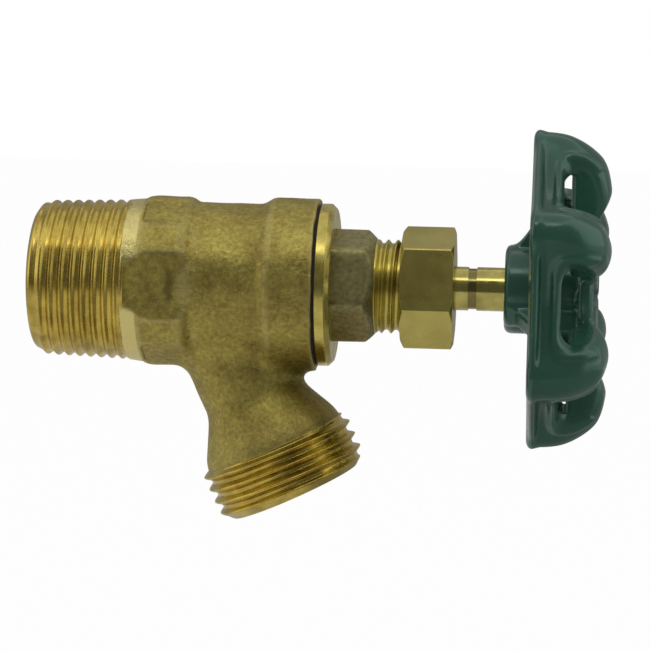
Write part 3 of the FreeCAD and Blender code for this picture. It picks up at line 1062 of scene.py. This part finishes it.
def turned_brass(name, dark, light, rough_low, rough_high, patch_scale=260.0):
    """Turned brass: bright metal with faint rings and tarnish."""
    n = Nodes(name, 1.0)
    colour = n.ramp(n.noise(patch_scale, rough=0.6), [(0.3, dark), (0.62, light)])
    rough = n.spread(n.noise(420.0), rough_low, rough_high)
    rings = n.noise(1.0, detail=2.0, rough=0.5, stretch=(9000.0, 160.0, 160.0))
    return n.finish(colour, rough, n.bump(rings, strength=0.12, distance=0.00003))


def stem_brass():
    """Smooth drawn brass, tarnished in the groove beside the packing nut."""
    n = Nodes("stem_brass_finish", 1.0)
    tones = [(0.3, linear(162, 151, 88)), (0.62, linear(206, 193, 112))]
    tarnish = linear(84, 74, 50)
    half_width = stem_groove_width / 2

    colour = n.ramp(n.noise(260.0, rough=0.6), tones)
    place = n.add("ShaderNodeSeparateXYZ")
    n.link(n.place, place.inputs[0])
    middle = (nut_end_x + stem_groove_offset + half_width) * MM
    groove = n.add("ShaderNodeMath", {1: middle, 2: half_width * MM}, operation="COMPARE")
    n.link(place.outputs["X"], groove.inputs[0])
    colour = n.mix(colour, tarnish, n.spread(groove.outputs[0], 0.0, 0.6, from_low=0.0, from_high=1.0))
    rough = n.spread(n.noise(420.0), 0.12, 0.22)
    return n.finish(colour, rough, n.bump(n.noise(1800.0, detail=3.0), strength=0.08, distance=0.00002))


def green_enamel():
    """Dark green enamel over a casting."""
    n = Nodes("green_enamel_finish", 0.0)
    tones = [(0.3, linear(30, 65, 52)), (0.7, linear(40, 80, 64))]
    n.shader.inputs["Specular IOR Level"].default_value = 0.85
    n.shader.inputs["Specular Tint"].default_value = (0.72, 1.0, 0.9, 1)
    colour = n.ramp(n.noise(70.0, detail=3.0, rough=0.5), tones)
    rough = n.spread(n.noise(380.0, detail=3.0), 0.18, 0.27)
    flow = n.bump(n.noise(240.0, detail=3.0, rough=0.5), strength=0.25, distance=0.0004)
    return n.finish(colour, rough, flow)


def plain_finish(name, dark, light, metal, rough_low, rough_high, scale=900.0):
    """Finish with a fine mottled colour, for the small inner pieces."""
    n = Nodes(name, metal)
    colour = n.ramp(n.noise(scale), [(0.3, dark), (0.7, light)])
    rough = n.spread(n.noise(scale * 2), rough_low, rough_high)
    return n.finish(colour, rough, n.bump(n.noise(scale * 3), strength=0.2, distance=0.00005))


def dress(obj, material):
    """Gives a piece its one material."""
    obj.data.materials.clear()
    obj.data.materials.append(material)


def dress_node(node, material):
    """Gives a CAD node's object its material."""
    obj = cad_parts[node]
    if not obj.material_slots:
        obj.data.materials.append(material)
    for material_slot in obj.material_slots:
        material_slot.material = material


# Studio, in metres

floor_level = -0.085
floor_half = 4.0
floor_shade = 0.85
floor_white_share = 0.97
soft_light = 0.6
card_centre_x = 0.05
card_distance = 0.33


def look_at(obj, target):
    """Turns a lamp towards a point."""
    direction = np.array(target) - np.array(obj.location)
    obj.rotation_euler = Vector(direction).to_track_quat("-Z", "Y").to_euler()


def area_lamp(name, place, target, size, power):
    """Rectangular lamp at a place, turned towards a target."""
    lamp = bpy.data.lights.new(name, "AREA")
    lamp.shape = "RECTANGLE"
    lamp.size, lamp.size_y = size
    lamp.energy = power
    obj = bpy.data.objects.new(name, lamp)
    bpy.context.scene.collection.objects.link(obj)
    obj.location = place
    look_at(obj, target)


def empty_tree(owner):
    """Node tree of a world or material, with its nodes removed."""
    owner.use_nodes = True
    owner.node_tree.nodes.clear()
    return owner.node_tree


def white_background(tree, strength):
    """Output of a white background of one strength."""
    inputs = {"Color": (1, 1, 1, 1), "Strength": strength}
    return new_node(tree, "ShaderNodeBackground", inputs).outputs[0]


def glow(tree, shade):
    """Output of a grey glow that needs no light."""
    inputs = {"Color": (shade, shade, shade, 1), "Strength": 1.0}
    return new_node(tree, "ShaderNodeEmission", inputs).outputs[0]


def combined(tree, operation, first, second):
    """Output of one maths step on a socket and on a second socket or a constant."""
    node = new_node(tree, "ShaderNodeMath", operation=operation)
    tree.links.new(first, node.inputs[0])
    if isinstance(second, bpy.types.NodeSocket):
        tree.links.new(second, node.inputs[1])
    else:
        node.inputs[1].default_value = second
    return node.outputs[0]


def mixed(tree, share, first, second):
    """Output of two shaders mixed by a share."""
    node = tree.nodes.new("ShaderNodeMixShader")
    for source, target in zip((share, first, second), node.inputs):
        tree.links.new(source, target)
    return node.outputs[0]


def make_world():
    """White to the camera and in reflections of the background, soft grey light on the object."""
    world = bpy.data.worlds.new("studio_world")
    bpy.context.scene.world = world
    tree = empty_tree(world)
    path = tree.nodes.new("ShaderNodeLightPath").outputs
    seen = combined(tree, "MAXIMUM", path["Is Camera Ray"], path["Is Glossy Ray"])
    seen = combined(tree, "MAXIMUM", seen, path["Is Transmission Ray"])
    surface = mixed(tree, seen, white_background(tree, soft_light), white_background(tree, 1.0))
    out = tree.nodes.new("ShaderNodeOutputWorld")
    tree.links.new(surface, out.inputs["Surface"])


def stage_piece(name, points, faces):
    """Stage object from points in metres, with an empty material of its own."""
    mesh = bpy.data.meshes.new(name)
    mesh.from_pydata(points, [], faces)
    obj = bpy.data.objects.new(name, mesh)
    bpy.context.scene.collection.objects.link(obj)
    material = bpy.data.materials.new(name)
    obj.data.materials.append(material)
    return obj, empty_tree(material)


def make_floor():
    """Pale floor well below the valve, which is held by its pipe thread."""
    low, high = -floor_half, floor_half
    points = [(low, low, floor_level), (high, low, floor_level),
              (high, high, floor_level), (low, high, floor_level)]
    _, tree = stage_piece("floor", points, [(0, 1, 2, 3)])
    matt = new_node(tree, "ShaderNodeBsdfDiffuse", {"Color": (floor_shade, floor_shade, floor_shade, 1)})
    camera_ray = tree.nodes.new("ShaderNodeLightPath").outputs["Is Camera Ray"]
    share = combined(tree, "MULTIPLY", camera_ray, floor_white_share)
    surface = mixed(tree, share, matt.outputs[0], glow(tree, 1.0))
    out = tree.nodes.new("ShaderNodeOutputMaterial")
    tree.links.new(surface, out.inputs["Surface"])


def reflection_card(name, points, faces, shade):
    """Stage piece of one grey shade that shows only in reflections."""
    obj, tree = stage_piece(name, points, faces)
    out = tree.nodes.new("ShaderNodeOutputMaterial")
    tree.links.new(glow(tree, shade), out.inputs["Surface"])
    obj.visible_camera = False
    obj.visible_diffuse = False
    obj.visible_shadow = False
    obj.visible_transmission = False


def curved_card(name, elevations, azimuths, shade):
    """Card on a sphere round the object, between two elevations and two azimuths in degrees."""
    rows, columns = 8, 24
    points = []
    for e in np.radians(np.linspace(*elevations, rows + 1)):
        for a in np.radians(np.linspace(*azimuths, columns + 1)):
            points.append((card_distance * math.cos(e) * math.sin(a) + card_centre_x,
                           -card_distance * math.cos(e) * math.cos(a),
                           card_distance * math.sin(e)))
    faces = []
    for i, j in np.ndindex(rows, columns):
        k = i * (columns + 1) + j
        faces.append((k, k + 1, k + columns + 2, k + columns + 1))
    reflection_card(name, points, faces, shade)


def make_under_card(shade):
    """Flat card just above the floor, from under the handwheel outwards."""
    near, far, side = 0.079, 0.4, 0.28
    level = floor_level + 0.001
    points = [(near, -side, level), (far, -side, level), (far, side, level), (near, side, level)]
    reflection_card("under_card", points, [(0, 1, 2, 3)], shade)


def make_camera():
    """Camera at the photograph's viewing angle."""
    azimuth, elevation, roll = math.radians(5.26), math.radians(5.07), math.radians(1.22)
    distance = 0.42983
    focal_px = 2576.4
    image_width_px = 650
    sensor_mm = 36.0
    target = np.array((0.048623, 0, -0.006827))
    d = np.array((-math.sin(azimuth) * math.cos(elevation), math.cos(azimuth) * math.cos(elevation),
                  -math.sin(elevation)))
    right = np.cross(d, (0, 0, 1))
    right /= np.linalg.norm(right)
    up = np.cross(right, d)
    turned_right = right * math.cos(roll) + up * math.sin(roll)
    turned_up = -right * math.sin(roll) + up * math.cos(roll)
    place = target - d * distance
    camera = bpy.data.cameras.new("camera")
    camera.sensor_fit = "HORIZONTAL"
    camera.sensor_width = sensor_mm
    camera.lens = sensor_mm * focal_px / image_width_px
    camera.clip_start = 0.01
    camera.clip_end = 20
    obj = bpy.data.objects.new("camera", camera)
    bpy.context.scene.collection.objects.link(obj)
    columns = ((*turned_right, 0), (*turned_up, 0), (*-d, 0), (*place, 1))
    obj.matrix_world = Matrix(columns).transposed()
    bpy.context.scene.camera = obj


# The valve

bpy.context.scene.view_settings.view_transform = "Standard"
make_camera()
brass_turned = turned_brass("machined_brass_finish", linear(186, 166, 84), linear(222, 205, 112), 0.2, 0.34)
brass_thread = turned_brass("thread_brass_finish", linear(168, 144, 66), linear(214, 188, 92), 0.2, 0.32)
brass_bonnet = turned_brass("bonnet_brass_finish", linear(128, 121, 81), linear(168, 158, 108),
                            0.4, 0.55, patch_scale=1400.0)
brass_nut = turned_brass("nut_brass_finish", linear(184, 169, 90), linear(204, 189, 104),
                         0.26, 0.34, patch_scale=120.0)
rubber = plain_finish("rubber_finish", linear(18, 18, 18), linear(34, 33, 32), 0, 0.55, 0.7)
fibre = plain_finish("fibre_finish", linear(26, 22, 18), linear(44, 36, 28), 0, 0.7, 0.85)
graphite = plain_finish("graphite_finish", linear(30, 30, 32), linear(52, 52, 55), 0.2, 0.4, 0.6)
zinc = plain_finish("zinc_finish", linear(150, 150, 148), linear(188, 188, 184), 1, 0.25, 0.4)

dress(make_casting(), cast_brass())
dress(make_inlet_thread(), brass_thread)
dress(make_hose_thread(), brass_thread)
dress(make_bonnet_flange(), brass_turned)
dress(make_bonnet_hexagon(), brass_bonnet)
dress(make_bonnet_thread(), brass_nut)
dress(make_nut(), brass_nut)
dress(make_handwheel(), green_enamel())
for node, material in (
    ("bonnet_gasket", fibre), ("packing_washer", brass_turned), ("packing_ring", graphite),
    ("packing_gland", brass_turned), ("stem", stem_brass()), ("seat_washer", rubber),
    ("seat_washer_screw", brass_turned), ("handwheel_washer", zinc), ("handwheel_screw", zinc),
):
    dress_node(node, material)

make_world()
make_floor()
curved_card("front_card", (-14, 49), (-62, 62), 0.12)
curved_card("back_card", (-10, 55), (110, 250), 0.35)
curved_card("ceiling_card", (62, 90), (-180, 180), 0.62)
make_under_card(0.25)
area_lamp("key_light", place=(0.02, -0.45, 0.56), target=(0.048, 0, -0.005), size=(0.9, 0.22), power=1.0)
